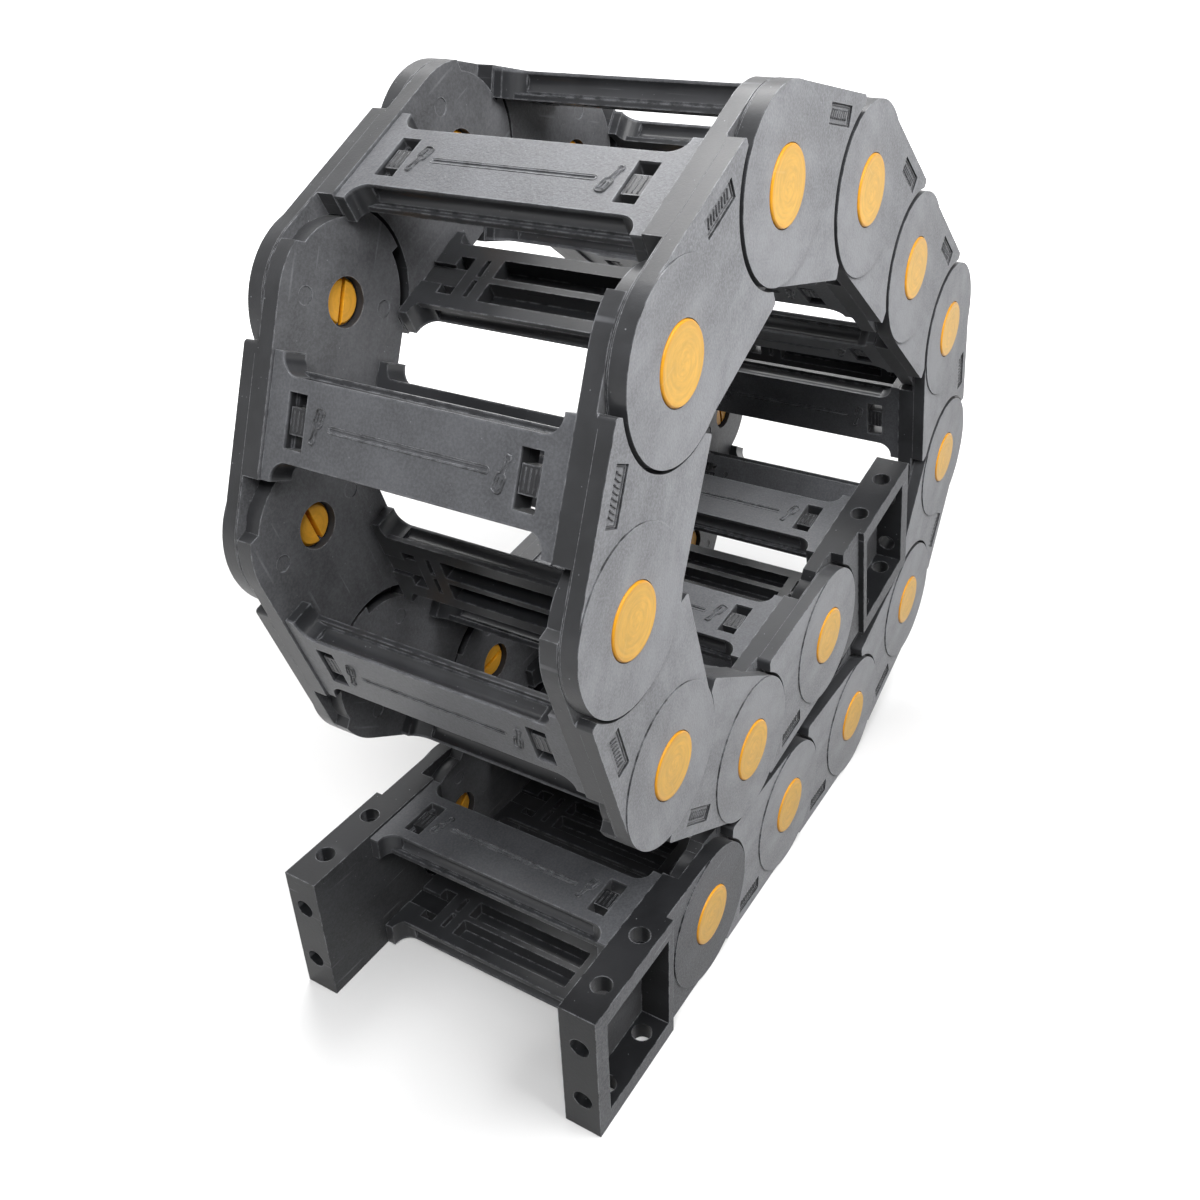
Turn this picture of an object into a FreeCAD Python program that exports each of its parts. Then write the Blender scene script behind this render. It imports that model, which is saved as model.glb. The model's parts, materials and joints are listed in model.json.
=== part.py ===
import FreeCAD, Part
import os
from math import acos, atan2, cos, degrees, radians, sin, sqrt

Vector = FreeCAD.Vector

# A cable drag chain of moulded plastic links, coiled as it is kept on a shelf.
# Millimetres. X runs along the straight stretch on the floor, Y across the chain, Z up.
# The origin is on the floor, at the centre of the fixed bracket's bottom holes.

# The chain
LINK_COUNT = 13
PITCH = 67.0                    # hinge to hinge
PLATE_HEIGHT = 54.0             # side plates, edge to edge
INNER_WIDTH = 100.0             # clear width between the side plates
INNER_HEIGHT = 35.0             # clear height between the crossbars

# Side plates: an inner leaf with the inner ear, and an outer leaf with the outer ear
INNER_LEAF = 5.5
OUTER_LEAF = 5.2
LEAF_GAP = 0.3                  # between one link's outer ear and the next one's inner ear
EAR_BOSS = 0.6                  # the outer ear's round face stands this proud of its plate
EAR_GAP = 1.2                   # from an ear's rim to the hollow in the plate beside it
OUTER_CORNER = 14.5             # hinge to the plate's corner, on the outside of the bend
INNER_CORNER = 17.0             # the same, on the inside of the bend
CORNER_ROUND = 1.2
MARK_LENGTH = 16.3              # shallow blank recess near the outer edge
MARK_HEIGHT = 6.1
MARK_DEPTH = 0.8
MARK_FROM_EDGE = 6.9            # its middle, from the plate's edge
SPOT_RADIUS = 2.7               # round ejector marks above and below the hinge, inside
SPOT_DEPTH = 0.3
SPOT_FROM_HINGE = 16.8

# Bend stops on the rims of the inner ears
FULL_BEND = 41.0                # degrees that one hinge bends, from straight
STOP_DEPTH = 3.0                # how far the teeth reach in past the ear's rim
STOP_SPAN = 11.5                # degrees of rim that a tooth takes up
STOP_PLAY = 0.7                 # degrees left at either end of the travel
STOP_GAP = 0.4                  # between a tooth's tip and the notch's floor

# Hinge pins: a flat head outside, a split shank that snaps in from outside
HEAD_RADIUS = 11.2
HEAD_THICKNESS = 3.75
HEAD_PROUD = 0.6
HEAD_PLAY = 0.25
HEAD_BEVEL = 0.4
SHANK_RADIUS = 6.45
SHANK_PLAY = 0.05
BARB_RADIUS = 7.1
BARB_RECESS_PLAY = 0.4
BARB_STRAIGHT = 0.55
BARB_BEVEL = 0.95
BARB_DEPTH = 1.7                # the pin's end lies this far below the inner face
SEAT_PLAY = 0.05
SPLIT_WIDTH = 1.5
SPLIT_DEPTH = 5.0
SPLIT_TURN = 42.0               # the slot's angle against the link

# Crossbars: one on each side of every link, clipped over a tongue on each plate
BAR_SINK = 0.8                  # below the plates' edges
BAR_WIDTH = 24.0
BAR_OFFSET = 0.5                # its middle lies this far past the link's middle
BAR_END_GAP = 0.3
FLARE_WIDTH = 36.6
FLARE_LENGTH = 3.4
FLARE_RADIUS = 5.4
LIP_WIDTH = 27.0
LIP_HEIGHT = 1.8
COVE_RADIUS = 3.4               # hollow along each side of the strip, above its lip
COVE_DEPTH = 1.2
WINDOW_LENGTH = 15.9            # along the chain
WINDOW_WIDTH = 6.7
WINDOW_FROM_END = 7.6
GROOVE_LENGTH = 53.0
GROOVE_WIDTH = 0.9
GROOVE_DEPTH = 0.5
POCKET_LENGTH = 50.0            # two long pockets in the side that faces the cables
POCKET_WIDTH = 7.5
POCKET_DEPTH = 5.2
POCKET_RIB = 2.6
SLOT_LENGTH = 7.0               # short slots between the pockets and the windows
SLOT_WIDTH = 1.6
SLOT_DEPTH = 3.0
SLOT_SPACING = 8.8

# Clip tongues on the plates' inner faces
TONGUE_WIDTH = 7.7
TONGUE_THICKNESS = 3.0
TONGUE_PLAY = 0.3
TONGUE_RISE = 1.2               # above the crossbar's cable side
HOOK_LENGTH = 5.0
HOOK_NOSE = 0.7                 # how far the hook's nose reaches out over the crossbar's ledge
HOOK_SINK = 0.9                 # below the crossbar's face
LEDGE_SINK = 3.0                # the ledge inside the window, below the crossbar's face
LEDGE_WIDTH = 1.2

# End brackets: an open frame beside the cable channel, drilled on three sides
FRAME_NEAR = 31.5               # from the hinge to the frame
FRAME_LENGTH = 48.2
FRAME_PROUD = 2.5               # past the plate's face
FRAME_FLOOR = 2.6               # thickness of the wall towards the cables
FRAME_END_WALL = 6.5
FRAME_HINGE_WALL = 3.2
FRAME_FLANGE = 6.7
MOUNT_HOLE_RADIUS = 3.5
MOUNT_FROM_HINGE = 54.3
MOUNT_SPACING = 23.4            # along the chain
MOUNT_DEPTH = 7.2               # hole centres, from the inner face outwards
END_HOLE_SPACING = 25.0         # up and down the end wall

# The coil: how far each hinge is bent at rest, first the one at the fixed bracket
REST_BENDS = [0.0, 0.0, 23.4, 39.6, 41.0, 39.8, 0.5, 23.1, 39.8, 40.2, 41.0, 41.0, 39.0, 4.2]
COIL_CLEARANCE = 0.4            # least gap between the coil's turns
OPENING_HINGES = [3, 4, 5, 6, 8]    # where the coil opens or closes until it has that gap
OPENING_STEP = 0.005
OPENING_LIMIT = 0.5

# Worked out from the above
HALF_HEIGHT = PLATE_HEIGHT / 2
EAR_RADIUS = HALF_HEIGHT
HOLLOW_RADIUS = EAR_RADIUS + EAR_GAP
INNER_FACE = INNER_WIDTH / 2
LEAF_FACE = INNER_FACE + INNER_LEAF
OUTER_EAR_FACE = LEAF_FACE + LEAF_GAP
PLATE_FACE = OUTER_EAR_FACE + OUTER_LEAF
BOSS_FACE = PLATE_FACE + EAR_BOSS
HEAD_FACE = BOSS_FACE + HEAD_PROUD
HEAD_SEAT = HEAD_FACE - HEAD_THICKNESS
PIN_END = INNER_FACE + BARB_DEPTH
BARB_BACK = PIN_END + BARB_BEVEL + BARB_STRAIGHT
FRAME_FACE = PLATE_FACE + FRAME_PROUD
STOP_FLOOR = EAR_RADIUS - STOP_DEPTH
STOP_TIP = STOP_FLOOR + STOP_GAP
LINK_MIDDLE = PITCH / 2
BAR_CENTRE = LINK_MIDDLE + BAR_OFFSET
BAR_TOP = HALF_HEIGHT - BAR_SINK
LEDGE_TOP = BAR_TOP - LEDGE_SINK
BAR_BOTTOM = INNER_HEIGHT / 2
BAR_END = INNER_FACE - BAR_END_GAP
WINDOW_OUT = INNER_FACE - WINDOW_FROM_END
WINDOW_IN = WINDOW_OUT - WINDOW_WIDTH
SLOT_PLACE = (POCKET_LENGTH / 2 + WINDOW_IN) / 2
TONGUE_LOW = BAR_BOTTOM + TONGUE_RISE
FRAME_FAR = FRAME_NEAR + FRAME_LENGTH
PLATE_END = PITCH - OUTER_CORNER
MOUNT_ACROSS = INNER_FACE + MOUNT_DEPTH
LONG = 10 * PITCH


def at(x, z, y=0.0):
    return Vector(x, y, z)


def polar(centre_x, radius, angle):
    return (centre_x + radius * cos(radians(angle)), radius * sin(radians(angle)))


def line(a, b):
    return Part.LineSegment(at(*a), at(*b)).toShape()


def arc(centre_x, radius, start, end):
    """Circular arc about a hinge on the link's axis, between two angles in degrees."""
    points = [at(*polar(centre_x, radius, angle)) for angle in (start, (start + end) / 2, end)]
    return Part.Arc(*points).toShape()


def slab(edges, low, high):
    """A closed outline in the XZ plane made solid between two places across the chain."""
    face = Part.Face(Part.Wire(Part.__sortEdges__(edges)))
    face.translate(Vector(0, low, 0))
    return face.extrude(Vector(0, high - low, 0))


def box(x0, x1, y0, y1, z0, z1):
    return Part.makeBox(x1 - x0, y1 - y0, z1 - z0, Vector(x0, y0, z0))


def rod(x, z, radius, low, high):
    """A cylinder along Y."""
    return Part.makeCylinder(radius, high - low, at(x, z, low), Vector(0, 1, 0))


def mirrored(shape, normal):
    return shape.mirror(Vector(0, 0, 0), normal)


def hollow_height(corner):
    """Where the hollow round a neighbour's ear meets the plate's corner face."""
    return sqrt(HOLLOW_RADIUS ** 2 - corner ** 2)


def outer_leaf():
    """Outer leaf of a link: hollow round the last link's ear, corners, then its own outer ear."""
    low, high = hollow_height(OUTER_CORNER), hollow_height(INNER_CORNER)
    start = degrees(atan2(-low, OUTER_CORNER))
    end = degrees(atan2(high, INNER_CORNER))
    edges = [
        arc(0, HOLLOW_RADIUS, start, end),
        line((INNER_CORNER, high), (INNER_CORNER, HALF_HEIGHT)),
        line((INNER_CORNER, HALF_HEIGHT), (PITCH, HALF_HEIGHT)),
        arc(PITCH, EAR_RADIUS, 90, -90),
        line((PITCH, -HALF_HEIGHT), (OUTER_CORNER, -HALF_HEIGHT)),
        line((OUTER_CORNER, -HALF_HEIGHT), (OUTER_CORNER, -low)),
    ]
    leaf = slab(edges, OUTER_EAR_FACE, PLATE_FACE)
    tips = [
        edge for edge in leaf.Edges
        if abs(edge.BoundBox.YLength - OUTER_LEAF) < 0.01
        and abs(abs(edge.CenterOfMass.z) - HALF_HEIGHT) < 0.01
        and edge.CenterOfMass.x < PITCH / 2
    ]
    return leaf.makeFillet(min(CORNER_ROUND, (HALF_HEIGHT - max(low, high)) / 2), tips)


def front_angle(radius):
    """Angle about the next hinge at which the link's square end crosses a radius."""
    return 180 - degrees(acos(OUTER_CORNER / radius))


def tooth_back():
    """Angle about the next hinge of a stop tooth's back face."""
    return front_angle(EAR_RADIUS) + STOP_SPAN


def toothed_end():
    """Edges of the inner leaf's far end: a hollow for the next inner ear, a tooth at each corner."""
    height = sqrt(STOP_TIP ** 2 - OUTER_CORNER ** 2)
    front, back = front_angle(STOP_TIP), tooth_back()
    edges = [arc(PITCH, HOLLOW_RADIUS, back, 360 - back)]
    for side in (-1, 1):
        edges += [
            line((PLATE_END, side * HALF_HEIGHT), (PLATE_END, side * height)),
            arc(PITCH, STOP_TIP, side * front, side * back),
            line(polar(PITCH, STOP_TIP, side * back), polar(PITCH, HOLLOW_RADIUS, side * back)),
        ]
    return edges


def notched_ear():
    """Edges of the inner ear about the near hinge, and where its top edge begins.

    Two notches in the rim leave the last link's teeth room to turn. A notch's end lies along
    the tooth's square face where the two meet: at full bend above, when straight below.
    """
    bent = FULL_BEND + STOP_PLAY
    back = tooth_back() + STOP_PLAY
    low_tip = polar(0, STOP_FLOOR, front_angle(STOP_FLOOR) - bent)
    low_rim = polar(0, EAR_RADIUS, front_angle(EAR_RADIUS) - bent)
    rise = (HALF_HEIGHT - low_tip[1]) / (low_rim[1] - low_tip[1])
    top = (low_tip[0] + rise * (low_rim[0] - low_tip[0]), HALF_HEIGHT)
    straight_tip = 360 - front_angle(STOP_FLOOR) + STOP_PLAY
    straight_rim = 360 - front_angle(EAR_RADIUS) + STOP_PLAY
    lower_start = 360 - tooth_back() - bent
    edges = [
        line(top, low_tip),
        arc(0, STOP_FLOOR, front_angle(STOP_FLOOR) - bent, back),
        line(polar(0, STOP_FLOOR, back), polar(0, EAR_RADIUS, back)),
        arc(0, EAR_RADIUS, back, lower_start),
        line(polar(0, EAR_RADIUS, lower_start), polar(0, STOP_FLOOR, lower_start)),
        arc(0, STOP_FLOOR, lower_start, straight_tip),
        line(polar(0, STOP_FLOOR, straight_tip), polar(0, EAR_RADIUS, straight_rim)),
        arc(0, EAR_RADIUS, straight_rim, 270),
    ]
    return edges, top[0]


def inner_leaf():
    """Inner leaf of a link: notched inner ear at the near hinge, toothed hollow at the far one."""
    ear, top_start = notched_ear()
    edges = ear + toothed_end() + [
        line((top_start, HALF_HEIGHT), (PLATE_END, HALF_HEIGHT)),
        line((0, -HALF_HEIGHT), (PLATE_END, -HALF_HEIGHT)),
    ]
    return slab(edges, INNER_FACE, OUTER_EAR_FACE)


def last_ear_room():
    """Space that the previous link's outer ear turns in, taken out of the gap between leaves."""
    room = rod(0, 0, HOLLOW_RADIUS, LEAF_FACE, OUTER_EAR_FACE)
    ahead = box(-LONG, OUTER_CORNER, LEAF_FACE, OUTER_EAR_FACE, -LONG, LONG)
    return room.fuse(ahead)


def outer_ear_cuts():
    """Pin hole and head recess of the outer ear."""
    hole = rod(PITCH, 0, SHANK_RADIUS + SHANK_PLAY, LEAF_FACE, BOSS_FACE + 1)
    recess = rod(PITCH, 0, HEAD_RADIUS + HEAD_PLAY, HEAD_SEAT - SEAT_PLAY, BOSS_FACE + 1)
    return hole.fuse(recess)


def inner_ear_cuts():
    """Pin hole of the inner ear, its wider mouth for the barbs, and the two round marks."""
    hole = rod(0, 0, SHANK_RADIUS + SHANK_PLAY, INNER_FACE - 1, OUTER_EAR_FACE)
    mouth = rod(0, 0, BARB_RADIUS + BARB_RECESS_PLAY, INNER_FACE - 1, BARB_BACK + SEAT_PLAY)
    marks = [rod(0, z, SPOT_RADIUS, INNER_FACE - 1, INNER_FACE + SPOT_DEPTH)
             for z in (-SPOT_FROM_HINGE, SPOT_FROM_HINGE)]
    return hole.fuse([mouth] + marks)


def ear_boss():
    return rod(PITCH, 0, EAR_RADIUS, OUTER_EAR_FACE, BOSS_FACE)


def mark_cut():
    """Shallow blank recess in the plate's face, near the outside edge of the bend."""
    middle = -HALF_HEIGHT + MARK_FROM_EDGE
    return box(LINK_MIDDLE - MARK_LENGTH / 2, LINK_MIDDLE + MARK_LENGTH / 2,
               PLATE_FACE - MARK_DEPTH, PLATE_FACE + 1,
               middle - MARK_HEIGHT / 2, middle + MARK_HEIGHT / 2)


def tongue(side):
    """Clip tongue for one crossbar: an arm from the inner face, ending in a hook in the window."""
    x0, x1 = BAR_CENTRE - TONGUE_WIDTH / 2, BAR_CENTRE + TONGUE_WIDTH / 2
    hook_in = WINDOW_IN + TONGUE_PLAY
    hook_out = hook_in + HOOK_LENGTH
    hook_top = BAR_TOP - HOOK_SINK
    arm = box(x0, x1, hook_in, INNER_FACE, TONGUE_LOW, TONGUE_LOW + TONGUE_THICKNESS)
    hook = box(x0, x1, hook_in, hook_out, TONGUE_LOW, hook_top)
    nose = box(x0, x1, hook_out, hook_out + HOOK_NOSE, LEDGE_TOP + TONGUE_PLAY, hook_top)
    whole = arm.fuse([hook, nose])
    return whole if side > 0 else mirrored(whole, Vector(0, 0, 1))


def link_plate():
    """One side plate of a link, on the +Y side, from the hinge at the origin to the next one."""
    plate = inner_leaf().cut(last_ear_room())
    plate = plate.fuse([outer_leaf(), ear_boss(), tongue(1), tongue(-1)])
    return plate.cut([outer_ear_cuts(), inner_ear_cuts(), mark_cut()]).removeSplitter()


def frame_block(near, far):
    """The bracket's frame between two places along the chain, before its pocket is cut."""
    return box(near, far, INNER_FACE, FRAME_FACE, -HALF_HEIGHT, HALF_HEIGHT)


def frame_cuts(hinge_x, direction):
    """Pocket and holes of a bracket's frame. direction is 1 where the frame lies past the hinge."""
    def along(distance):
        return hinge_x + direction * distance

    x0, x1 = sorted((along(FRAME_NEAR + FRAME_HINGE_WALL), along(FRAME_FAR - FRAME_END_WALL)))
    inside = HALF_HEIGHT - FRAME_FLANGE
    cuts = [box(x0, x1, INNER_FACE + FRAME_FLOOR, FRAME_FACE + 1, -inside, inside)]
    for offset in (-MOUNT_SPACING / 2, MOUNT_SPACING / 2):
        foot = Vector(along(MOUNT_FROM_HINGE + offset), MOUNT_ACROSS, -HALF_HEIGHT - 1)
        cuts.append(Part.makeCylinder(MOUNT_HOLE_RADIUS, PLATE_HEIGHT + 2, foot, Vector(0, 0, 1)))
    wall = along(FRAME_FAR - FRAME_END_WALL - 1)
    for z in (-END_HOLE_SPACING / 2, END_HOLE_SPACING / 2):
        cuts.append(Part.makeCylinder(MOUNT_HOLE_RADIUS, FRAME_END_WALL + 2,
                                      Vector(wall, MOUNT_ACROSS, z), Vector(direction, 0, 0)))
    return cuts


def fixed_bracket_plate():
    """Side plate of the first bracket. Its hinge is the far one, with an outer ear."""
    near, far = PITCH - FRAME_NEAR, PITCH - FRAME_FAR
    edges = toothed_end() + [
        line((near, HALF_HEIGHT), (PLATE_END, HALF_HEIGHT)),
        line((near, HALF_HEIGHT), (near, -HALF_HEIGHT)),
        line((near, -HALF_HEIGHT), (PLATE_END, -HALF_HEIGHT)),
    ]
    inner = slab(edges, INNER_FACE, OUTER_EAR_FACE)
    outer = box(near, PITCH, OUTER_EAR_FACE, PLATE_FACE, -HALF_HEIGHT, HALF_HEIGHT)
    plate = frame_block(far, near).fuse([inner, outer, ear_boss(), tongue(1), tongue(-1)])
    return plate.cut(frame_cuts(PITCH, -1) + [outer_ear_cuts()]).removeSplitter()


def moving_bracket_plate():
    """Side plate of the last bracket. Its hinge is the near one, with an inner ear."""
    ear, top_start = notched_ear()
    edges = ear + [
        line((top_start, HALF_HEIGHT), (FRAME_NEAR, HALF_HEIGHT)),
        line((FRAME_NEAR, HALF_HEIGHT), (FRAME_NEAR, -HALF_HEIGHT)),
        line((FRAME_NEAR, -HALF_HEIGHT), (0, -HALF_HEIGHT)),
    ]
    inner = slab(edges, INNER_FACE, OUTER_EAR_FACE).cut(last_ear_room())
    low, high = hollow_height(OUTER_CORNER), hollow_height(INNER_CORNER)
    outer_edges = [
        arc(0, HOLLOW_RADIUS, degrees(atan2(-low, OUTER_CORNER)), degrees(atan2(high, INNER_CORNER))),
        line((INNER_CORNER, high), (INNER_CORNER, HALF_HEIGHT)),
        line((INNER_CORNER, HALF_HEIGHT), (FRAME_NEAR, HALF_HEIGHT)),
        line((FRAME_NEAR, HALF_HEIGHT), (FRAME_NEAR, -HALF_HEIGHT)),
        line((FRAME_NEAR, -HALF_HEIGHT), (OUTER_CORNER, -HALF_HEIGHT)),
        line((OUTER_CORNER, -HALF_HEIGHT), (OUTER_CORNER, -low)),
    ]
    outer = slab(outer_edges, OUTER_EAR_FACE, PLATE_FACE)
    plate = frame_block(FRAME_NEAR, FRAME_FAR).fuse([inner, outer, tongue(1), tongue(-1)])
    return plate.cut(frame_cuts(0, 1) + [inner_ear_cuts()]).removeSplitter()


def flared_outline():
    """Crossbar seen from above: a strip with wider ends, joined by concave rounds."""
    half, flare = BAR_WIDTH / 2, FLARE_WIDTH / 2
    end, root = BAR_END, BAR_END - FLARE_LENGTH
    step = min(FLARE_RADIUS, flare - half)
    middle = step * (1 - cos(radians(45)))
    edges = []
    for u in (-1, 1):
        edges.append(Part.LineSegment(Vector(u * half, root - step, 0),
                                      Vector(u * half, -root + step, 0)).toShape())
        for v in (-1, 1):
            edges.append(Part.LineSegment(Vector(u * flare, v * end, 0),
                                          Vector(u * flare, v * root, 0)).toShape())
            if flare - half > step:
                edges.append(Part.LineSegment(Vector(u * flare, v * root, 0),
                                              Vector(u * (half + step), v * root, 0)).toShape())
            edges.append(Part.Arc(Vector(u * (half + step), v * root, 0),
                                  Vector(u * (half + middle), v * (root - middle), 0),
                                  Vector(u * half, v * (root - step), 0)).toShape())
    for v in (-1, 1):
        edges.append(Part.LineSegment(Vector(-flare, v * end, 0), Vector(flare, v * end, 0)).toShape())
    return Part.Face(Part.Wire(Part.__sortEdges__(edges)))


def crossbar():
    """One crossbar above the cables, across the link's middle, its face up."""
    depth = BAR_TOP - BAR_BOTTOM
    outline = flared_outline()
    outline.translate(Vector(0, 0, BAR_BOTTOM))
    bar = outline.extrude(Vector(0, 0, depth))
    cove_x = BAR_WIDTH / 2 - COVE_DEPTH + COVE_RADIUS
    cove_z = BAR_BOTTOM + LIP_HEIGHT + COVE_RADIUS
    cove_end = BAR_END - FLARE_LENGTH - min(FLARE_RADIUS, (FLARE_WIDTH - BAR_WIDTH) / 2)
    coves = [rod(x, cove_z, COVE_RADIUS, -cove_end, cove_end) for x in (-cove_x, cove_x)]
    lip = box(-LIP_WIDTH / 2, LIP_WIDTH / 2, -BAR_END + FLARE_LENGTH, BAR_END - FLARE_LENGTH,
              BAR_BOTTOM, BAR_BOTTOM + LIP_HEIGHT)
    bar = bar.cut(coves).fuse(lip)
    cuts = [box(-GROOVE_WIDTH / 2, GROOVE_WIDTH / 2, -GROOVE_LENGTH / 2, GROOVE_LENGTH / 2,
                BAR_TOP - GROOVE_DEPTH, BAR_TOP + 1)]
    for x in (-1, 1):
        inside, outside = sorted((x * POCKET_RIB / 2, x * (POCKET_RIB / 2 + POCKET_WIDTH)))
        cuts.append(box(inside, outside, -POCKET_LENGTH / 2, POCKET_LENGTH / 2,
                        BAR_BOTTOM - 1, BAR_BOTTOM + POCKET_DEPTH))
        slot_x = x * SLOT_SPACING / 2
        for y in (-SLOT_PLACE, SLOT_PLACE):
            cuts.append(box(slot_x - SLOT_LENGTH / 2, slot_x + SLOT_LENGTH / 2,
                            y - SLOT_WIDTH / 2, y + SLOT_WIDTH / 2,
                            BAR_BOTTOM - 1, BAR_BOTTOM + SLOT_DEPTH))
    channel = TONGUE_WIDTH / 2 + TONGUE_PLAY
    for y in (-1, 1):
        window_in, window_out = sorted((y * WINDOW_IN, y * WINDOW_OUT))
        cuts.append(box(-WINDOW_LENGTH / 2, WINDOW_LENGTH / 2, window_in, window_out,
                        LEDGE_TOP, BAR_TOP + 1))
        well_in, well_out = sorted((y * WINDOW_IN, y * (WINDOW_OUT - LEDGE_WIDTH)))
        cuts.append(box(-WINDOW_LENGTH / 2, WINDOW_LENGTH / 2, well_in, well_out,
                        BAR_BOTTOM - 1, LEDGE_TOP))
        slot_in, slot_out = sorted((y * WINDOW_IN, y * (BAR_END + 1)))
        cuts.append(box(-channel, channel, slot_in, slot_out,
                        BAR_BOTTOM - 1, TONGUE_LOW + TONGUE_THICKNESS + TONGUE_PLAY))
    bar = bar.cut(cuts)
    bar.translate(Vector(BAR_CENTRE, 0, 0))
    return bar.removeSplitter()


def pin():
    """Hinge pin on the +Y side, about the hinge at the origin: head, split shank and barbs."""
    head = rod(0, 0, HEAD_RADIUS, HEAD_SEAT, HEAD_FACE - HEAD_BEVEL)
    bevel = Part.makeCone(HEAD_RADIUS, HEAD_RADIUS - HEAD_BEVEL, HEAD_BEVEL,
                          at(0, 0, HEAD_FACE - HEAD_BEVEL), Vector(0, 1, 0))
    shank = rod(0, 0, SHANK_RADIUS, BARB_BACK, HEAD_SEAT)
    barb = rod(0, 0, BARB_RADIUS, PIN_END + BARB_BEVEL, BARB_BACK)
    tip = Part.makeCone(BARB_RADIUS - BARB_BEVEL, BARB_RADIUS, BARB_BEVEL,
                        at(0, 0, PIN_END), Vector(0, 1, 0))
    whole = head.fuse([bevel, shank, barb, tip])
    split = box(-LONG, LONG, PIN_END - 1, PIN_END + SPLIT_DEPTH, -SPLIT_WIDTH / 2, SPLIT_WIDTH / 2)
    split.rotate(Vector(0, 0, 0), Vector(0, -1, 0), SPLIT_TURN)
    return whole.cut(split).removeSplitter()


def chain_places(bends):
    """Each hinge's place and each link's heading in degrees, for a list of bends."""
    places, headings = [(MOUNT_FROM_HINGE, HALF_HEIGHT)], []
    heading = 0.0
    for bend in bends:
        heading += bend
        headings.append(heading)
        x, z = places[-1]
        places.append((x + PITCH * cos(radians(heading)), z + PITCH * sin(radians(heading))))
    return places, headings


def bracket_outline(place, heading, direction):
    """A bracket seen from the side, from its hinge to the far end of its frame."""
    far = direction * FRAME_FAR
    corners = [at(0, HALF_HEIGHT), at(far, HALF_HEIGHT), at(far, -HALF_HEIGHT), at(0, -HALF_HEIGHT)]
    return placed(Part.Face(Part.makePolygon(corners + corners[:1])), place, heading)


def least_gap(bends):
    """Smallest gap, seen from the side, between sections of the coil that aren't neighbours.

    A link is all within its ears' radius of the line from hinge to hinge.
    """
    places, headings = chain_places(bends)
    links = [line(places[k], places[k + 1]) for k in range(LINK_COUNT)]
    first = bracket_outline(places[0], 0.0, -1)
    last = bracket_outline(places[LINK_COUNT], headings[LINK_COUNT], 1)
    gaps = [first.distToShape(last)[0]]
    gaps += [first.distToShape(link)[0] - EAR_RADIUS for link in links[1:]]
    gaps += [last.distToShape(link)[0] - EAR_RADIUS for link in links[:-1]]
    for k, link in enumerate(links):
        gaps += [link.distToShape(other)[0] - 2 * EAR_RADIUS for other in links[k + 2:]]
    return min(gaps)


def opened_bends(share):
    """The rest bends with a share of some hinges' bend taken out, or added where it is negative."""
    bends = [min(bend, FULL_BEND) for bend in REST_BENDS]
    for hinge in OPENING_HINGES:
        bends[hinge - 1] = min(bends[hinge - 1] * (1 - share), FULL_BEND)
    return bends


def settled_bends():
    """The rest bends, with the coil opened or wound up until its turns lie just clear."""
    share = 0.0
    while least_gap(opened_bends(share)) < COIL_CLEARANCE and share < OPENING_LIMIT:
        share += OPENING_STEP
    while least_gap(opened_bends(share - OPENING_STEP)) >= COIL_CLEARANCE and share > -OPENING_LIMIT:
        share -= OPENING_STEP
    return opened_bends(share)


def placed(shape, place, heading):
    """A copy of a piece with its near hinge at a place and its axis along a heading."""
    turn = FreeCAD.Rotation(Vector(0, -1, 0), heading)
    return shape.transformed(FreeCAD.Placement(at(*place), turn).toMatrix(), True)


def write(name, solids):
    shape = solids[0] if len(solids) == 1 else Part.makeCompound(solids)
    shape.exportStep("parts/" + name + ".step")


def write_section(name, plate, bar, place, heading):
    """Writes the three nodes of a link or a bracket: left plate, right plate and crossbars."""
    write(name + "_left_plate", [placed(plate, place, heading)])
    write(name + "_right_plate", [placed(mirrored(plate, Vector(0, 1, 0)), place, heading)])
    lower = mirrored(bar, Vector(0, 0, 1))
    write(name + "_crossbars", [placed(bar, place, heading), placed(lower, place, heading)])


def main():
    os.makedirs("parts", exist_ok=True)
    places, headings = chain_places(settled_bends())
    plate, bar, hinge_pin = link_plate(), crossbar(), pin()
    first_x, first_z = places[0]
    write_section("fixed_bracket", fixed_bracket_plate(), bar, (first_x - PITCH, first_z), 0.0)
    for k in range(LINK_COUNT):
        write_section("link_%02d" % (k + 1), plate, bar, places[k], headings[k])
    write_section("moving_bracket", moving_bracket_plate(), bar, places[LINK_COUNT], headings[LINK_COUNT])
    for k in range(LINK_COUNT + 1):
        held = headings[k - 1] if k else 0.0
        pair = [placed(hinge_pin, places[k], held),
                placed(mirrored(hinge_pin, Vector(0, 1, 0)), places[k], held)]
        write("hinge_%02d_pins" % (k + 1), pair)


main()
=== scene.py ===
"""Looks of a coiled cable drag chain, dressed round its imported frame.

The chain is a row of sections: a fixed bracket, thirteen links and a moving bracket. A section
has two side plates, two crossbars and, at its far hinge, two snap-in pins. Lengths are in metres,
places are in the part's frame where nothing else is said, and colours are linear.
"""

import json
import logging
import math
from dataclasses import dataclass, replace
from enum import Enum
from typing import Optional

import bmesh
import bpy
import numpy as np
from bpy.types import Material, Mesh, Node, NodeSocket, NodeTree, NodeTreeInterfaceSocket, Object
from mathutils import Matrix, Vector

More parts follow.
